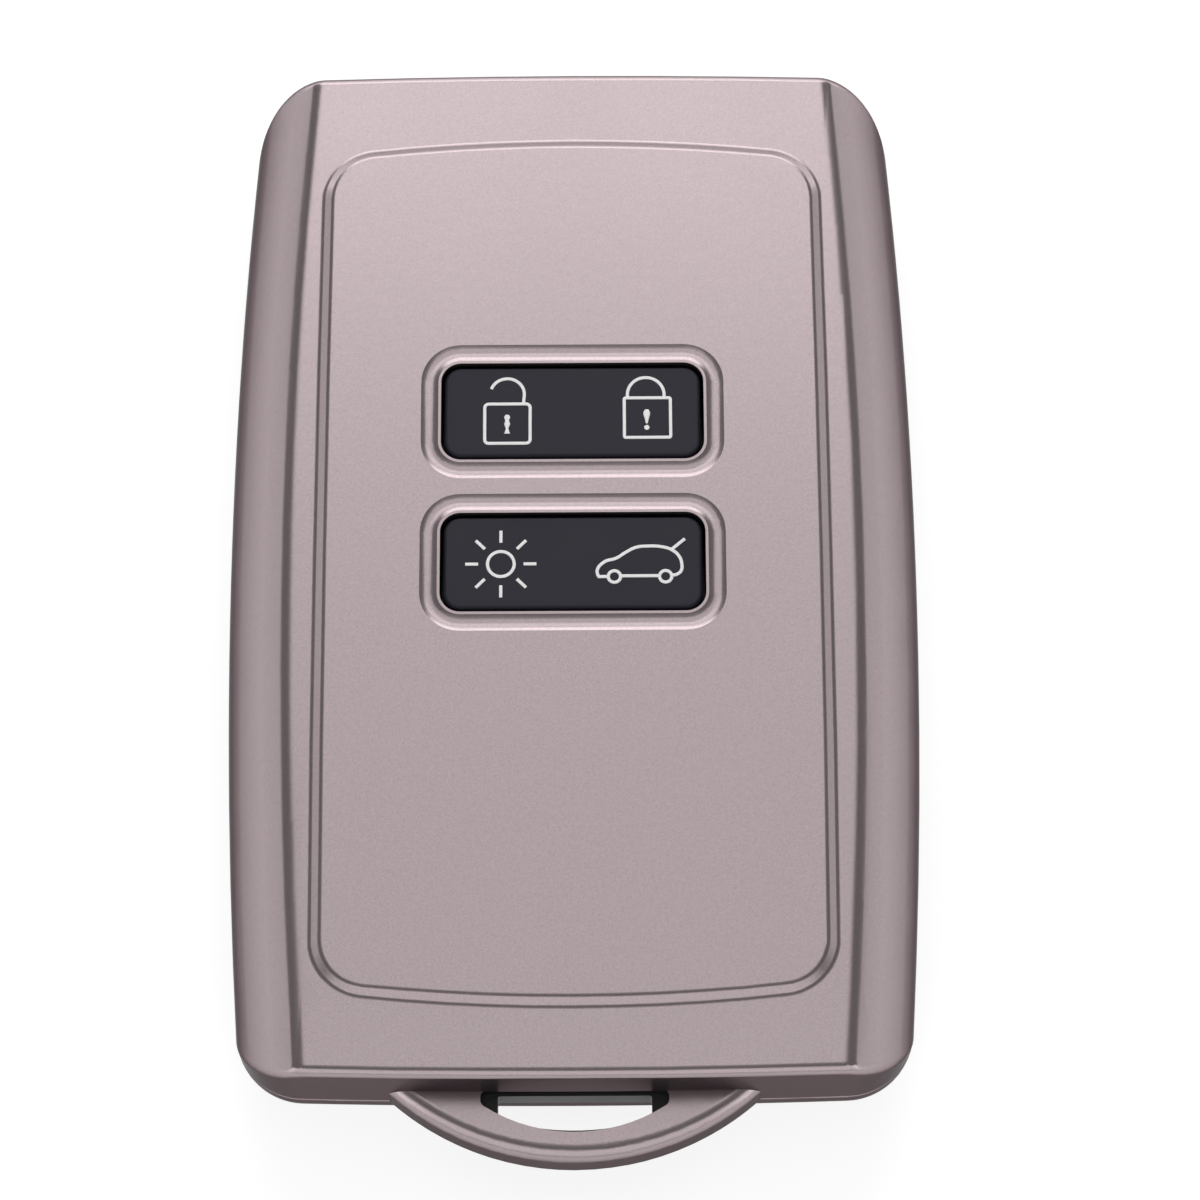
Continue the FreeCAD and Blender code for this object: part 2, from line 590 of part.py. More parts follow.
# Raise the panel from the front face: sloped sides, with a soft edge above and a soft foot
def raise_panel(body):
    sketch = new_sketch(body, "panel_sketch", "XY_Plane", y=PANEL_SHIFT, z=FACE)
    bows = ("sizes.panel_side_bow", "sizes.panel_bow")
    bowed_outline(sketch, PANEL_WIDE, PANEL_LONG, *bows, "sizes.panel_corner")
    taper = "-atan(sizes.panel_slope / sizes.panel_rise)"
    block = pad(body, sketch, "panel_block", "sizes.panel_rise", taper)
    above = round_edges(body, block, "panel_edge", "sizes.panel_edge_radius", at_level(PANEL_TOP))
    is_foot = lambda edge: at_level(FACE)(edge) and on_panel(edge)
    round_edges(body, above, "panel_foot", "sizes.panel_foot_radius", is_foot)


# Outer form of the front shell, with its panel and rounded ends
def front_outer():
    body = front_form("front_outer", "0", SEAM)
    raise_panel(body)

    def is_end(edge):
        extent = edge.BoundBox
        far = abs(extent.Center.y) > number(f"{BODY_END} - sizes.corner_radius")
        return far and not on_panel(edge) and not is_upright(edge) and extent.ZMax > number(SEAM) + CLOSE

    round_edges(body, body.Tip, "end_edges", "sizes.end_edge_radius", is_end)
    return body


# Sunk border around a window, between its outer slope and the slope of the lip, with a hollow floor.
# Both slopes are drawn to twice the depth, so that they pass the panel's top.
def moat(side, window):
    body = doc.addObject("PartDesign::Body", f"{side}_moat")
    floor = f"({PANEL_TOP} - sizes.moat_depth)"
    slope = "atan(sizes.moat_slope / sizes.moat_depth)"
    thickness = "sizes.moat_depth * 2"
    hollow = "sizes.moat_round * tan(atan(sizes.moat_depth / sizes.moat_slope) / 2)"
    inner = "(sizes.lip_width + sizes.moat_slope)"
    outer = f"({inner} + sizes.moat_flat + 2 * {hollow})"

    def outline(name, margin):
        sketch = new_sketch(body, f"{side}_moat_{name}_sketch", "XY_Plane", z=floor)
        width = f"sizes.window_width + 2 * {margin}"
        height = f"sizes.window_height + 2 * {margin}"
        rounded_rectangle(sketch, width, height, f"sizes.window_corner + {margin}", "0", window)
        return sketch

    pad(body, outline("outer", outer), f"{side}_moat_block", thickness, slope)
    lip = body.newObject("PartDesign::Pocket", f"{side}_moat_lip")
    lip.Profile = outline("inner", inner)
    lip.Reversed = True
    bind(lip, Length=thickness, TaperAngle=f"-{slope}")
    round_edges(body, lip, f"{side}_moat_hollow", "sizes.moat_round", at_level(floor))
    return body


# Front half of the cover
def front_shell():
    tab_top = f"({SEAM} + sizes.tab_front)"
    front_tab = tab_half("front_tab", SEAM, "sizes.tab_front", tab_top, "sizes.tab_front_edge")
    solid = fuse("front_solid", front_outer(), front_tab)
    cavity = front_form("front_cavity", "sizes.wall", BELOW_SEAM)
    rebate = doc.addObject("PartDesign::Body", "front_rebate")
    rebate_inset = "(sizes.wall - sizes.tongue_thickness - sizes.snap_fit)"
    outline_block(rebate, "front_rebate", rebate_inset, SEAM, "sizes.tongue_height + sizes.snap_fit")
    grooves = snap_form(
        "snap_grooves",
        f"({rebate_inset} - sizes.ridge_height)",
        f"({SEAM} + sizes.ridge_low - sizes.snap_fit)",
        "sizes.ridge_band + 2 * sizes.snap_fit",
        "sizes.ridge_length + 2 * sizes.snap_fit",
    )
    moats = [moat(side, place) for side, place in WINDOWS.items()]
    hollow = fuse("front_hollow", cavity, rebate, grooves, windows, *moats, eye_room, lanyard_slot)
    piece("front_shell", cut("front_shell", solid, hollow))


# Rear half of the cover, with the rim that the front half snaps over
def rear_shell():
    rim = doc.addObject("PartDesign::Body", "rear_rim")
    rim_inset = "(sizes.wall - sizes.tongue_thickness)"
    outline_block(rim, "rear_rim", rim_inset, SEAM, "sizes.tongue_height")
    ridges = snap_form(
        "snap_ridges",
        f"({rim_inset} - sizes.ridge_height)",
        f"({SEAM} + sizes.ridge_low)",
        "sizes.ridge_band",
        "sizes.ridge_length",
    )
    tab_low = f"({SEAM} - sizes.tab_back)"
    rear_tab = tab_half("rear_tab", tab_low, "sizes.tab_back", tab_low, "sizes.tab_back_edge")
    outer = rear_form("rear_outer", "0", SEAM)
    round_edges(outer, outer.Tip, "rear_seam_edge", "sizes.seam_radius", at_level(SEAM))
    solid = fuse("rear_solid", outer, rim, ridges, rear_tab)
    depth = f"{SEAM} - sizes.wall + sizes.tongue_height + sizes.overcut"
    hollow = fuse("rear_hollow", rear_form("rear_cavity", "sizes.wall", depth), eye_room, lanyard_slot)
    piece("rear_shell", cut("rear_shell", solid, hollow))


# Front half of the key's own case
def key_front_case():
    outer = front_form("key_front_outer", KEY, SEAM)
    inside = front_form("key_front_inside", KEY_INSIDE, BELOW_SEAM)
    hollow = fuse("key_front_hollow", inside, windows, eye_room)
    piece("key_front_case", cut("key_front_case", outer, hollow))


# Posts under the corners of the circuit board
def board_posts():
    across = f"({BOARD_WIDTH} / 2 - sizes.post_inset)"
    rows = {"top": f"({BOARD_TOP} - sizes.post_inset)", "bottom": f"({BOARD_BOTTOM} + sizes.post_inset)"}
    return [
        cylinder(
            f"post_{row}_{column}",
            "sizes.post_radius",
            f"{BOARD_LOW} - {KEY_INSIDE}",
            f"{sign} * {across}",
            place,
            KEY_INSIDE,
        )
        for row, place in rows.items()
        for column, sign in (("left", -1), ("right", 1))
    ]


# Seat and ring around the coin cell, notched for the strip under the cell
def cell_nest():
    inside = "(sizes.cell_radius + sizes.cell_fit)"
    outside = f"({inside} + sizes.nest_wall)"
    height = "sizes.nest_height + sizes.overcut"
    centre = ("sizes.cell_x", "sizes.cell_y")
    room = cylinder("nest_inside", inside, height, *centre, STRIP_LOW)
    notch = box(
        "nest_notch",
        "sizes.strip_width + 2 * sizes.cell_fit",
        outside,
        height,
        "sizes.cell_x",
        f"sizes.cell_y - {outside} / 2",
        STRIP_LOW,
    )
    block = cylinder("nest_outside", outside, "sizes.nest_height", *centre, KEY_INSIDE)
    return cut("cell_nest", block, fuse("nest_room", room, notch))


# Rear half of the key's own case, with posts for the board, a nest for the cell and a rib for the blade
def key_rear_case():
    outer = rear_form("key_rear_outer", KEY, f"{SEAM} - {KEY}")
    inside = rear_form("key_rear_inside", KEY_INSIDE, f"{SEAM} - {KEY_INSIDE} + sizes.overcut")
    shell = cut("key_rear_shell", outer, fuse("key_rear_hollow", inside, eye_room))
    rib = box(
        "blade_rib",
        "sizes.rib_width",
        "sizes.rib_length",
        f"{EYE_LOW} - sizes.rib_gap - {KEY_INSIDE}",
        "sizes.blade_place",
        f"{HEAD_INNER} + sizes.blade_length / 2",
        KEY_INSIDE,
    )
    piece("key_rear_case", fuse("key_rear_case", shell, cell_nest(), rib, *board_posts()))


# Frame under the front case, with bearings for the pivot pins of both button pads
def keypad_frame():
    height = "(sizes.upper_window - sizes.lower_window + sizes.window_height + 2 * sizes.frame_margin)"
    middle = "(sizes.upper_window + sizes.lower_window) / 2"
    slab = plate(
        "frame_slab", "sizes.frame_width", height, "sizes.frame_corner", "0", middle,
        PAD_LOW, "sizes.frame_thickness",
    )
    bearings = []
    radius = "(sizes.pivot_radius + sizes.pivot_fit)"
    length = "(sizes.window_height - 2 * sizes.pad_fit + 2 * sizes.pivot_length + 2 * sizes.pivot_fit)"
    for side, place in WINDOWS.items():
        bearings.append(pivot_form(f"{side}_bearing", radius, length, place))
        mouth = (f"2 * {radius}", length, "sizes.overcut")
        bearings.append(box(f"{side}_bearing_mouth", *mouth, "0", place, PIVOT))
    piece("keypad_frame", cut("keypad_frame", slab, fuse("frame_openings", windows, *bearings)))


# Button pad that rocks on two pivot pins, and the carbon pills under it
def button(side, window):
    width, height = "(sizes.window_width - 2 * sizes.pad_fit)", "(sizes.window_height - 2 * sizes.pad_fit)"
    top = f"({PANEL_TOP} - sizes.pad_recess)"
    cap = plate(
        f"{side}_cap", width, height, "sizes.window_corner - sizes.pad_fit", "0", window,
        PAD_LOW, f"{top} - {PAD_LOW}",
    )
    round_edges(cap, cap.Tip, f"{side}_cap_edge", "sizes.pad_edge_radius", at_level(top))
    pins = pivot_form(f"{side}_pins", "sizes.pivot_radius", f"{height} + 2 * sizes.pivot_length", window)
    piece(f"{side}_button_pad", fuse(f"{side}_button_pad", cap, pins))
    pills = [
        cylinder(
            f"{side}_pill_{hand}", "sizes.pill_radius", "sizes.pill_thickness",
            f"{sign} * sizes.contact_place", window, PILL_LOW,
        )
        for hand, sign in (("left", -1), ("right", 1))
    ]
    piece(f"{side}_contact_pills", group(f"{side}_contact_pills", *pills))


# Circuit board with its contact pads and components
def circuit_board():
    board = plate(
        "circuit_board", BOARD_WIDTH, f"({BOARD_TOP} - {BOARD_BOTTOM})", "sizes.board_corner", "0",
        f"({BOARD_TOP} + {BOARD_BOTTOM}) / 2", BOARD_LOW, "sizes.board_thickness",
    )
    piece("circuit_board", board)
    contacts = [
        cylinder(
            f"contact_{side}_{hand}", "sizes.contact_radius", "sizes.contact_thickness",
            f"{sign} * sizes.contact_place", place, CONTACT_LOW,
        )
        for side, place in WINDOWS.items()
        for hand, sign in (("left", -1), ("right", 1))
    ]
    piece("contact_pads", group("contact_pads", *contacts))

    def component(label, width, length, x, y, low, height):
        place = f"({BOARD_BOTTOM} + {y})"
        piece(label, plate(label, width, length, "sizes.chip_corner", x, place, low, height))

    component(
        "controller_chip", "sizes.chip_width", "sizes.chip_width", "sizes.chip_x", "sizes.chip_y",
        CONTACT_LOW, "sizes.chip_height",
    )
    component(
        "radio_chip", "sizes.radio_width", "sizes.radio_width", "sizes.radio_x", "sizes.radio_y",
        CONTACT_LOW, "sizes.radio_height",
    )
    component(
        "crystal_can", "sizes.crystal_width", "sizes.crystal_length", "sizes.radio_x", "sizes.crystal_y",
        CONTACT_LOW, "sizes.crystal_height",
    )
    component(
        "antenna_block", "sizes.antenna_width", "sizes.antenna_length", "sizes.antenna_x",
        "sizes.antenna_y", f"({BOARD_LOW} - sizes.antenna_height)", "sizes.antenna_height",
    )


# Coin cell and its two contact strips
def coin_cell():
    centre = ("sizes.cell_x", "sizes.cell_y")
    cap = cylinder("cell_cap", "sizes.cap_radius", "sizes.cap_height", *centre, CELL_LOW)
    can = cylinder(
        "cell_can", "sizes.cell_radius", "sizes.cell_thickness - sizes.cap_height", *centre,
        f"{CELL_LOW} + sizes.cap_height",
    )
    piece("coin_cell", fuse("coin_cell", can, cap))
    thick, wide = "sizes.strip_thickness", "sizes.strip_width"
    top_strip = box("top_strip", "sizes.strip_length", wide, thick, *centre, CELL_HIGH)
    top_leg = box(
        "top_leg", thick, wide, f"{BOARD_LOW} - {CELL_HIGH}",
        f"(sizes.cell_x + sizes.strip_length / 2 - {thick} / 2)", "sizes.cell_y", CELL_HIGH,
    )
    piece("positive_contact", fuse("positive_contact", top_strip, top_leg))
    reach = f"(sizes.cell_radius + sizes.cell_fit + {thick})"
    low_place = ("sizes.cell_x", f"sizes.cell_y - {reach} / 2", STRIP_LOW)
    low_strip = box("low_strip", wide, reach, thick, *low_place)
    low_leg = box(
        "low_leg", wide, thick, f"{BOARD_LOW} - {STRIP_LOW}",
        "sizes.cell_x", f"(sizes.cell_y - {reach} + {thick} / 2)", STRIP_LOW,
    )
    piece("negative_contact", fuse("negative_contact", low_strip, low_leg))


# Emergency blade, and its head with the ring eye that reaches into the cover's tab
def emergency_blade():
    middle = f"({HEAD_INNER} + sizes.blade_length / 2)"
    blank = plate(
        "blade_blank", "sizes.blade_width", "sizes.blade_length", "sizes.blade_corner",
        "sizes.blade_place", middle, EYE_LOW, "sizes.blade_thickness",
    )
    levels = {"back": EYE_LOW, "front": f"{EYE_LOW} + sizes.blade_thickness - sizes.groove_depth"}
    grooves = [
        box(
            f"blade_groove_{side}",
            "sizes.groove_width",
            "sizes.blade_length",
            "sizes.groove_depth",
            "sizes.blade_place",
            f"{middle} + sizes.groove_start",
            low,
        )
        for side, low in levels.items()
    ]
    piece("key_blade", cut("key_blade", blank, fuse("blade_grooves", *grooves)))
    height = f"{EYE_HIGH} - {EYE_LOW}"
    disc = tab_form("head_disc", EYE_RADIUS, HEAD_INNER, EYE_LOW, height)
    limit_length = "2 * sizes.body_length"
    limit = box("head_limit", "sizes.head_width", limit_length, height, "0", "0", EYE_LOW)
    core = common("head_core", disc, limit)
    opening = slot_form(
        "eye_opening",
        "sizes.eye_opening",
        f"({EYE_RADIUS} - sizes.eye_ring)",
        "sizes.eye_corner",
        TAB_CENTRE,
        f"(-{BODY_END} - sizes.eye_bar)",
        f"{EYE_LOW} - sizes.overcut",
        f"{height} + 2 * sizes.overcut",
    )
    piece("blade_head", cut("blade_head", core, opening))


front_shell()
rear_shell()
key_front_case()
key_rear_case()
keypad_frame()
for side, place in WINDOWS.items():
    button(side, place)
circuit_board()
coin_cell()
emergency_blade()
doc.recompute()

# Nothing is written unless every object is sound
for thing in doc.Objects:
    if "Invalid" in thing.State or "Error" in thing.State:
        raise RuntimeError(f"{thing.Name} failed: {thing.State}")
for thing in pieces:
    if thing.Shape.isNull() or not thing.Shape.isValid() or not thing.Shape.Solids:
        raise RuntimeError(f"{thing.Label} has no sound shape")

os.makedirs("parts", exist_ok=True)
for thing in pieces:
    thing.Shape.exportStep(f"parts/{thing.Label}.step")
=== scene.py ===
import json
import math

import bpy
from mathutils import Matrix, Vector


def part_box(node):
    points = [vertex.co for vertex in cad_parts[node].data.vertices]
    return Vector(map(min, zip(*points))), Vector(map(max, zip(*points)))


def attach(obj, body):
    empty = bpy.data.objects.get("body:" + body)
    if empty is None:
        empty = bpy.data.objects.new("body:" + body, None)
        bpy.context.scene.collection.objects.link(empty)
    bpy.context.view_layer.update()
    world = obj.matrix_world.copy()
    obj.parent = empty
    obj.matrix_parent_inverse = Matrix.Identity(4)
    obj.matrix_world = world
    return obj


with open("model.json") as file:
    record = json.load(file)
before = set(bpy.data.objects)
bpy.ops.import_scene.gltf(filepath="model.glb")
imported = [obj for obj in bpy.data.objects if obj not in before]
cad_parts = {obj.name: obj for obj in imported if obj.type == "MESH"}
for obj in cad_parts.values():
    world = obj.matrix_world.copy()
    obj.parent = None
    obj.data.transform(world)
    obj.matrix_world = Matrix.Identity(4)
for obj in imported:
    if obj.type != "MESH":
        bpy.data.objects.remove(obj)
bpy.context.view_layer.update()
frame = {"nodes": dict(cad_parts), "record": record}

# Lengths are written in millimetres and turned into metres where they are used
MM = 0.001
FULL_TURN = 360

# The camera, fitted to the photograph: high above the lower end of the cover, a little right of its middle
CAMERA_AIM = Vector((1.97, -1.28, 13.1)) * MM
CAMERA_DISTANCE = 300 * MM
CAMERA_AZIMUTH = 180
CAMERA_ELEVATION = 70
CAMERA_ROLL = -0.3
CAMERA_LENS = 123.5
CAMERA_SENSOR = 36

# Shading: faces that meet at less than this angle look like one surface, and points this close count as one
SMOOTH_ANGLE = 20
SAME_POINT = 0.001

# The symbols printed on the pads
STROKE_RADIUS = 0.12
PRINT_THICKNESS = 0.02

# The soft boxes: the way to each from the object, the angles that it spans, and its brightness
LAMP_DISTANCE = 600 * MM
SOFT_BOXES = {
    "top_box": dict(azimuth=0, elevation=74, width=36, height=40, brightness=0.9),
    "upper_back_box": dict(azimuth=0, elevation=45, width=40, height=36, brightness=1.1),
    "zenith_box": dict(azimuth=180, elevation=84, width=36, height=24, brightness=0.2),
    "bright_strip": dict(azimuth=0, elevation=30, width=50, height=22, brightness=1.75),
    "back_box": dict(azimuth=0, elevation=10, width=100, height=22, brightness=1.5),
    "left_box": dict(azimuth=-90, elevation=12, width=90, height=28, brightness=0.8),
    "right_box": dict(azimuth=90, elevation=12, width=90, height=28, brightness=0.8),
    "front_box": dict(azimuth=180, elevation=26, width=112, height=42, brightness=1.05),
}
WORLD_GREY = 0.22

# The floor: half its side, how much lamp light it throws back, and its own glow
FLOOR_REACH = 3000 * MM
FLOOR_GREY = 0.4
FLOOR_GLOW = 0.75


# Nodes for materials


def new_material(name):
    made = bpy.data.materials.new(name)
    made.use_nodes = True
    return made, made.node_tree.nodes["Principled BSDF"]


def place(made, size):
    """Gives object coordinates counted in units of size millimetres, one length for each direction."""
    nodes = made.node_tree.nodes
    coordinates = nodes.new("ShaderNodeTexCoord")
    mapping = nodes.new("ShaderNodeMapping")
    mapping.inputs["Scale"].default_value = [1 / (length * MM) for length in size]
    made.node_tree.links.new(coordinates.outputs["Object"], mapping.inputs["Vector"])
    return mapping.outputs["Vector"]


def even(number):
    """Gives one number three times: the same in every direction, or a grey."""
    return (number, number, number)


def noise(made, size, detail=2):
    """Gives cloudy noise whose blots measure about size millimetres, one length for each direction."""
    texture = made.node_tree.nodes.new("ShaderNodeTexNoise")
    texture.inputs["Scale"].default_value = 1
    texture.inputs["Detail"].default_value = detail
    made.node_tree.links.new(place(made, size), texture.inputs["Vector"])
    return texture.outputs["Fac"]


def cells(made, size):
    """Gives one random grey for each cell of about size millimetres."""
    nodes = made.node_tree.nodes
    texture = nodes.new("ShaderNodeTexVoronoi")
    texture.inputs["Scale"].default_value = 1
    grey = nodes.new("ShaderNodeSeparateColor")
    made.node_tree.links.new(place(made, size), texture.inputs["Vector"])
    made.node_tree.links.new(texture.outputs["Color"], grey.inputs["Color"])
    return grey.outputs["Red"]


def spread(made, source, low, high):
    """Stretches a grey pattern so that it runs from low to high."""
    ranged = made.node_tree.nodes.new("ShaderNodeMapRange")
    ranged.inputs["To Min"].default_value = low
    ranged.inputs["To Max"].default_value = high
    made.node_tree.links.new(source, ranged.inputs["Value"])
    return ranged.outputs["Result"]


def tint(made, source, dark, light):
    """Turns a grey pattern into colours between dark and light."""
    mix = made.node_tree.nodes.new("ShaderNodeMix")
    mix.data_type = "RGBA"
    mix.inputs["A"].default_value = (*dark, 1)
    mix.inputs["B"].default_value = (*light, 1)
    colour_factor, = [socket for socket in mix.inputs if socket.identifier == "Factor_Float"]
    made.node_tree.links.new(source, colour_factor)
    result, = [socket for socket in mix.outputs if socket.identifier == "Result_Color"]
    return result


def shaded(colour, factor):
    return tuple(part * factor for part in colour)


def bump(made, shader, source, height):
    """Raises the surface by a grey pattern, height millimetres from black to white."""
    raised = made.node_tree.nodes.new("ShaderNodeBump")
    raised.inputs["Distance"].default_value = height * MM
    raised.inputs["Strength"].default_value = 1
    made.node_tree.links.new(source, raised.inputs["Height"])
    made.node_tree.links.new(raised.outputs["Normal"], shader.inputs["Normal"])


def finish_surface(made, shader, colour_pattern, colours, rough_pattern, roughness):
    """Links a colour pattern and a roughness pattern to the shader."""
    links = made.node_tree.links
    links.new(tint(made, colour_pattern, *colours), shader.inputs["Base Color"])
    links.new(spread(made, rough_pattern, *roughness), shader.inputs["Roughness"])


# One function for each material


def cover_paint():
    """Satin metallic paint: fine flakes, soft clouds in the gloss and a trace of orange peel."""
    made, shader = new_material("satin_mauve_paint")
    mauve = (0.38, 0.317, 0.329)
    edge_grey = 0.14
    shader.inputs["Metallic"].default_value = 0.95
    shader.inputs["Specular Tint"].default_value = (*even(edge_grey), 1)
    flakes = cells(made, even(0.07))
    flake_colours = (shaded(mauve, 0.94), shaded(mauve, 1.06))
    clouds = noise(made, (9, 12, 9))
    # The gloss stays on one side of 0.274, where the denoiser would draw a ring around each cloud
    gloss = (0.232, 0.272)
    finish_surface(made, shader, flakes, flake_colours, clouds, gloss)
    orange_peel = noise(made, even(0.9))
    bump(made, shader, orange_peel, height=0.004)
    return made


def moulded_plastic(name, colour, grain, depth, roughness):
    """Moulded plastic with the fine grain of a spark-eroded mould."""
    made, shader = new_material(name)
    clouds = noise(made, even(6))
    finish_surface(made, shader, clouds, (shaded(colour, 0.85), shaded(colour, 1.15)), clouds, roughness)
    bump(made, shader, noise(made, even(grain)), depth)
    return made


def pad_charcoal():
    """Smooth charcoal pads with a soft, weak sheen."""
    charcoal = (0.010, 0.010, 0.020)
    made = moulded_plastic("charcoal_pad", charcoal, grain=0.12, depth=0.004, roughness=(0.5, 0.6))
    made.node_tree.nodes["Principled BSDF"].inputs["Specular IOR Level"].default_value = 0.38
    return made


def key_black():
    """The case of the key, with a coarse grain."""
    black = (0.010, 0.010, 0.011)
    return moulded_plastic("textured_black", black, grain=0.22, depth=0.02, roughness=(0.42, 0.56))


def frame_plastic():
    """The dark grey frame of the keypad."""
    grey = (0.05, 0.05, 0.055)
    return moulded_plastic("moulded_grey", grey, grain=0.3, depth=0.015, roughness=(0.4, 0.55))


def carbon():
    """Dull rubber with carbon in it."""
    black = even(0.015)
    return moulded_plastic("carbon_rubber", black, grain=0.08, depth=0.01, roughness=(0.7, 0.85))


def chip_epoxy():
    """Moulded epoxy of the chips."""
    black = (0.025, 0.025, 0.027)
    return moulded_plastic("chip_epoxy_black", black, grain=0.1, depth=0.01, roughness=(0.5, 0.65))


def ferrite():
    """The cast block of the antenna."""
    brown = (0.06, 0.055, 0.05)
    return moulded_plastic("cast_ferrite", brown, grain=0.15, depth=0.02, roughness=(0.45, 0.7))


def board_laminate():
    """Green solder mask over blocks of copper, which show as paler green."""
    made, shader = new_material("green_solder_mask")
    copper_areas = made.node_tree.nodes.new("ShaderNodeTexBrick")
    copper_areas.inputs["Scale"].default_value = 1
    copper_areas.inputs["Mortar Size"].default_value = 0.03
    made.node_tree.links.new(place(made, even(2.4)), copper_areas.inputs["Vector"])
    clouds = noise(made, even(5))
    green = (0.02, 0.13, 0.05)
    colours = (shaded(green, 1.3), shaded(green, 0.7))
    finish_surface(made, shader, copper_areas.outputs["Fac"], colours, clouds, (0.25, 0.4))
    bump(made, shader, copper_areas.outputs["Fac"], height=0.02)
    return made


def brushed_metal(name, colour, lines, roughness):
    """Metal brushed in one direction: lines gives the size of a scratch along X, Y and Z."""
    made, shader = new_material(name)
    shader.inputs["Metallic"].default_value = 1
    scratches = noise(made, lines, detail=4)
    finish_surface(made, shader, scratches, (shaded(colour, 0.9), shaded(colour, 1.08)), scratches, roughness)
    bump(made, shader, scratches, height=0.003)
    return made


def can_steel():
    """Bright steel of the cell and the crystal."""
    steel = (0.62, 0.62, 0.61)
    return brushed_metal("bright_steel", steel, lines=(0.1, 2.5, 0.1), roughness=(0.22, 0.4))


def blade_steel():
    """Nickel plate, brushed along the blade."""
    nickel = (0.58, 0.57, 0.55)
    return brushed_metal("brushed_nickel", nickel, lines=(0.08, 4.0, 0.08), roughness=(0.28, 0.45))


def gilt():
    """Gold plate, with a fine grain in place of scratches."""
    gold = (0.80, 0.58, 0.24)
    return brushed_metal("gold_plate", gold, lines=even(0.3), roughness=(0.2, 0.35))


def symbol_white():
    """White ink with the faint unevenness of a pad print."""
    made, shader = new_material("white_print")
    speckle = noise(made, even(0.2))
    white = even(0.95)
    finish_surface(made, shader, speckle, (shaded(white, 0.94), white), speckle, (0.45, 0.6))
    bump(made, shader, speckle, height=0.003)
    return made


FINISHES = {
    "cover_paint": cover_paint,
    "key_black": key_black,
    "pad_charcoal": pad_charcoal,
    "frame_plastic": frame_plastic,
    "carbon": carbon,
    "board_laminate": board_laminate,
    "gilt": gilt,
    "chip_epoxy": chip_epoxy,
    "can_steel": can_steel,
    "ferrite": ferrite,
    "blade_steel": blade_steel,
}


def shade_smoothly(mesh):
    """Sets the normals from the faces around each corner, by area, so that slivers leave no marks."""
    limit = math.cos(math.radians(SMOOTH_ANGLE))
    spots = [tuple(round(length / (SAME_POINT * MM)) for length in vertex.co) for vertex in mesh.vertices]
    meeting = {}
    for face in mesh.polygons:
        for vertex in face.vertices:
            meeting.setdefault(spots[vertex], []).append(face)
    normals = [None] * len(mesh.loops)
    for face in mesh.polygons:
        for corner in face.loop_indices:
            vertex = mesh.loops[corner].vertex_index
            total = Vector()
            for other in meeting[spots[vertex]]:
                if vertex in other.vertices or face.normal.dot(other.normal) > limit:
                    total += other.normal * other.area
            normals[corner] = total.normalized()
    mesh.normals_split_custom_set(normals)


def dress_frame():
    """Gives every solid the material of its slot."""
    made = {slot: finish() for slot, finish in FINISHES.items()}
    slot_of = {part["node"]: part["material_slot"] for part in frame["record"]["subparts"]}
    for name, node in frame["nodes"].items():
        node.material_slots[0].material = made[slot_of[name]]
        shade_smoothly(node.data)


# Strokes of the symbols, in millimetres from the middle of a pad


def arc(centre, radius, start, end, steps=24):
    """Gives points along a circle, from the start angle to the end angle."""
    angles = [math.radians(start + (end - start) * step / steps) for step in range(steps + 1)]
    return [(centre[0] + radius * math.cos(angle), centre[1] + radius * math.sin(angle)) for angle in angles]


def rounded_box(centre, width, height, corner):
    """Gives the outline of a rectangle with round corners."""
    across = width / 2 - corner
    up = height / 2 - corner
    points = []
    for turn, side, level in ((0, 1, 1), (90, -1, 1), (180, -1, -1), (270, 1, -1)):
        middle = (centre[0] + side * across, centre[1] + level * up)
        points += arc(middle, corner, turn, turn + 90, steps=6)
    return points


def draw(curve, points, closed=False, widths=None, smooth=False):
    """Adds one stroke to a curve. widths thickens the stroke at each point."""
    spline = curve.splines.new("BEZIER" if smooth else "POLY")
    stops = spline.bezier_points if smooth else spline.points
    stops.add(len(points) - 1)
    for number, (stop, point) in enumerate(zip(stops, points)):
        across = Vector((point[0], point[1], 0)) * MM
        if smooth:
            stop.co = across
            stop.handle_left_type = "AUTO"
            stop.handle_right_type = "AUTO"
        else:
            stop.co = (*across, 1)
        stop.radius = widths[number] if widths else 1
    spline.use_cyclic_u = closed


def dot(curve, centre, radius):
    """Adds a round dot: a small ring whose stroke fills its middle."""
    share = radius / (2 * STROKE_RADIUS)
    ring = arc(centre, radius / 2, 0, FULL_TURN)[:-1]
    draw(curve, ring, closed=True, widths=[share] * len(ring))


def open_padlock(curve):
    body = rounded_box(centre=(-4.81, -0.92), width=3.36, height=3.14, corner=0.3)
    draw(curve, body, closed=True)
    shackle = arc(centre=(-4.82, 1.42), radius=1.26, start=160, end=-8)
    draw(curve, shackle + [(-3.62, 0.66)])
    keyhole = -4.83
    stem = [(keyhole, level) for level in (-0.35, -0.75, -0.95, -1.30, -1.58, -1.72)]
    draw(curve, stem, widths=[1.1, 1.3, 1.9, 0.8, 1.4, 1.9])
    dot(curve, centre=(keyhole, -0.42), radius=0.22)


def closed_padlock(curve):
    body = rounded_box(centre=(5.55, -0.49), width=3.42, height=3.16, corner=0.12)
    draw(curve, body, closed=True)
    shackle = arc(centre=(5.44, 1.36), radius=1.36, start=0, end=180)
    draw(curve, [(6.80, 1.08)] + shackle + [(4.08, 1.08)])
    keyhole = 5.50
    drop = [(keyhole, level) for level in (0.16, -0.05, -0.25, -0.55, -0.95)]
    draw(curve, drop, widths=[1.1, 2.1, 2.1, 1.3, 0.6])
    dot(curve, centre=(keyhole, -1.28), radius=0.20)


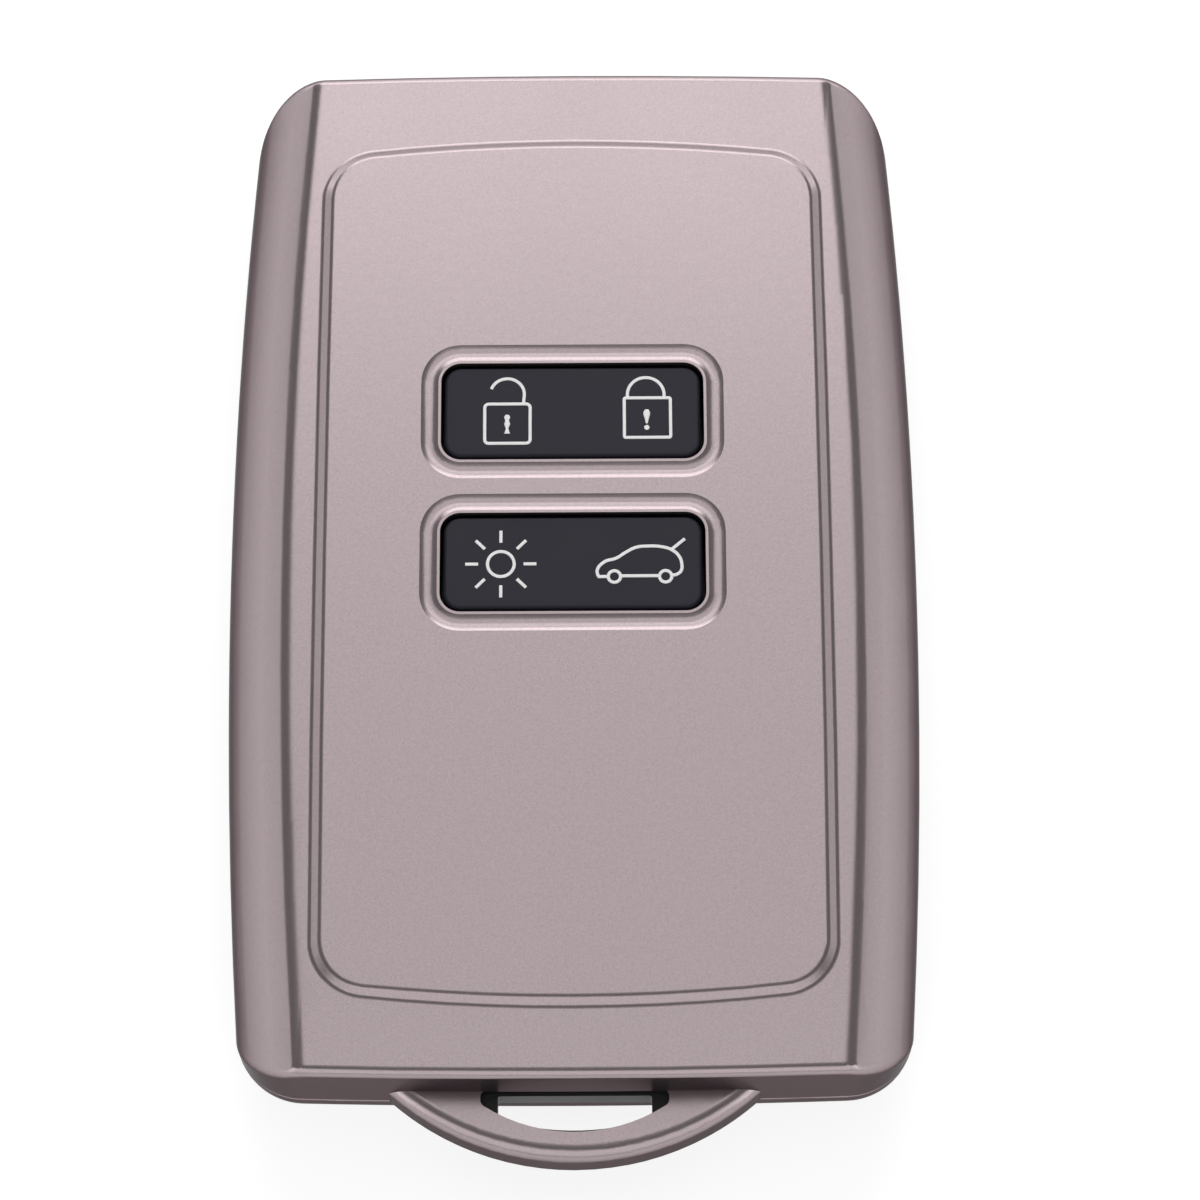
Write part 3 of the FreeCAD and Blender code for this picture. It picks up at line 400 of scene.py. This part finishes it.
def light(curve):
    middle = (-5.26, -0.10)
    lamp_radius = 0.98
    rays = 8
    ray_start = 1.66
    ray_end = 2.6
    draw(curve, arc(middle, lamp_radius, 0, FULL_TURN)[:-1], closed=True)
    for step in range(rays):
        angle = step * FULL_TURN / rays
        ray = [arc(middle, reach, angle, angle, steps=1)[0] for reach in (ray_start, ray_end)]
        draw(curve, ray)


def open_hatch(curve):
    upper_body = [
        (1.85, -1.10), (1.78, -0.62), (2.30, 0.02), (3.17, 0.31), (3.90, 0.78), (4.60, 1.14), (5.50, 1.24),
        (6.40, 1.20), (7.20, 0.96), (7.78, 0.42), (7.96, -0.20), (7.90, -0.70), (7.56, -0.98), (7.24, -1.04),
    ]
    draw(curve, upper_body, smooth=True)
    wheel_radius = 0.45
    level = -1.12
    for middle in (3.03, 6.77):
        draw(curve, arc((middle, level), wheel_radius, 0, FULL_TURN)[:-1], closed=True)
    draw(curve, [(1.80, level), (2.58, level)])
    draw(curve, [(3.48, level + 0.05), (6.32, level + 0.05)])
    draw(curve, [(7.22, 0.97), (8.20, 1.80)])


def print_symbol(name, strokes, pad, body, ink):
    """Prints one symbol on a pad as a thin raised film that rides with the pad."""
    low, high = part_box(pad)
    curve = bpy.data.curves.new(name + "_lines", "CURVE")
    curve.dimensions = "3D"
    curve.bevel_depth = STROKE_RADIUS * MM
    curve.bevel_resolution = 2
    curve.use_fill_caps = True
    strokes(curve)
    lines = bpy.data.objects.new(name + "_lines", curve)
    film = bpy.data.meshes.new_from_object(lines)
    bpy.data.objects.remove(lines)
    bpy.data.curves.remove(curve)
    flat = PRINT_THICKNESS / STROKE_RADIUS
    middle = (low + high) / 2
    film.transform(Matrix.Translation((middle.x, middle.y, high.z)) @ Matrix.Scale(flat, 4, (0, 0, 1)))
    film.materials.clear()
    film.materials.append(ink)
    film.shade_smooth()
    symbol = bpy.data.objects.new(name, film)
    bpy.context.scene.collection.objects.link(symbol)
    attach(symbol, body)


def print_symbols():
    ink = symbol_white()
    print_symbol("open_padlock_symbol", open_padlock, "upper_button_pad", "upper_rocker", ink)
    print_symbol("closed_padlock_symbol", closed_padlock, "upper_button_pad", "upper_rocker", ink)
    print_symbol("light_symbol", light, "lower_button_pad", "lower_rocker", ink)
    print_symbol("open_hatch_symbol", open_hatch, "lower_button_pad", "lower_rocker", ink)


# The studio: a white floor, soft boxes and the camera


def direction(azimuth, elevation):
    """Gives the way to a point around the object: azimuth from +Y towards +X, elevation from the floor."""
    turn = math.radians(azimuth)
    rise = math.radians(elevation)
    return Vector((math.sin(turn) * math.cos(rise), math.cos(turn) * math.cos(rise), math.sin(rise)))


def soft_box(name, azimuth, elevation, width, height, brightness):
    """Hangs a rectangular lamp that spans width by height degrees as seen from the object."""
    lamp = bpy.data.lights.new(name, "AREA")
    lamp.shape = "RECTANGLE"
    lamp.size = 2 * LAMP_DISTANCE * math.tan(math.radians(width / 2))
    lamp.size_y = 2 * LAMP_DISTANCE * math.tan(math.radians(height / 2))
    lamp.energy = math.pi * lamp.size * lamp.size_y * brightness
    away = direction(azimuth, elevation)
    hung = bpy.data.objects.new(name, lamp)
    hung.location = CAMERA_AIM + away * LAMP_DISTANCE
    hung.rotation_euler = away.to_track_quat("Z", "Y").to_euler()
    bpy.context.scene.collection.objects.link(hung)


def light_studio():
    for name, hanging in SOFT_BOXES.items():
        soft_box(name, **hanging)


def white_floor():
    """A floor that stays white to the camera and in reflections, and shows the shadow of the object."""
    mesh = bpy.data.meshes.new("floor")
    corners = [(x * FLOOR_REACH, y * FLOOR_REACH, 0) for x, y in ((-1, -1), (1, -1), (1, 1), (-1, 1))]
    mesh.from_pydata(corners, [], [(0, 1, 2, 3)])
    floor = bpy.data.objects.new("floor", mesh)
    bpy.context.scene.collection.objects.link(floor)
    made, shader = new_material("white_floor")
    shader.inputs["Base Color"].default_value = (*even(FLOOR_GREY), 1)
    shader.inputs["Roughness"].default_value = 0.9
    shader.inputs["Specular IOR Level"].default_value = 0
    shader.inputs["Emission Color"].default_value = (1, 1, 1, 1)
    nodes = made.node_tree.nodes
    rays = nodes.new("ShaderNodeLightPath")
    seen = rays.outputs["Is Camera Ray"]
    for other in ("Is Glossy Ray", "Is Transmission Ray"):
        either = nodes.new("ShaderNodeMath")
        either.operation = "MAXIMUM"
        made.node_tree.links.new(seen, either.inputs[0])
        made.node_tree.links.new(rays.outputs[other], either.inputs[1])
        seen = either.outputs["Value"]
    made.node_tree.links.new(spread(made, seen, 0, FLOOR_GLOW), shader.inputs["Emission Strength"])
    mesh.materials.append(made)


def grey_world():
    world = bpy.data.worlds.new("studio")
    world.use_nodes = True
    background = world.node_tree.nodes["Background"]
    background.inputs["Color"].default_value = (*even(WORLD_GREY), 1)
    bpy.context.scene.world = world


def set_camera():
    data = bpy.data.cameras.new("camera")
    data.lens = CAMERA_LENS
    data.sensor_width = CAMERA_SENSOR
    camera = bpy.data.objects.new("camera", data)
    stand = Matrix.Translation(CAMERA_AIM + direction(CAMERA_AZIMUTH, CAMERA_ELEVATION) * CAMERA_DISTANCE)
    pitch = Matrix.Rotation(math.radians(90 - CAMERA_ELEVATION), 4, "X")
    roll = Matrix.Rotation(math.radians(CAMERA_ROLL), 4, "Z")
    camera.matrix_world = stand @ pitch @ roll
    bpy.context.scene.collection.objects.link(camera)
    bpy.context.scene.camera = camera


dress_frame()
print_symbols()
light_studio()
white_floor()
grey_world()
set_camera()
bpy.context.scene.view_settings.view_transform = "Standard"
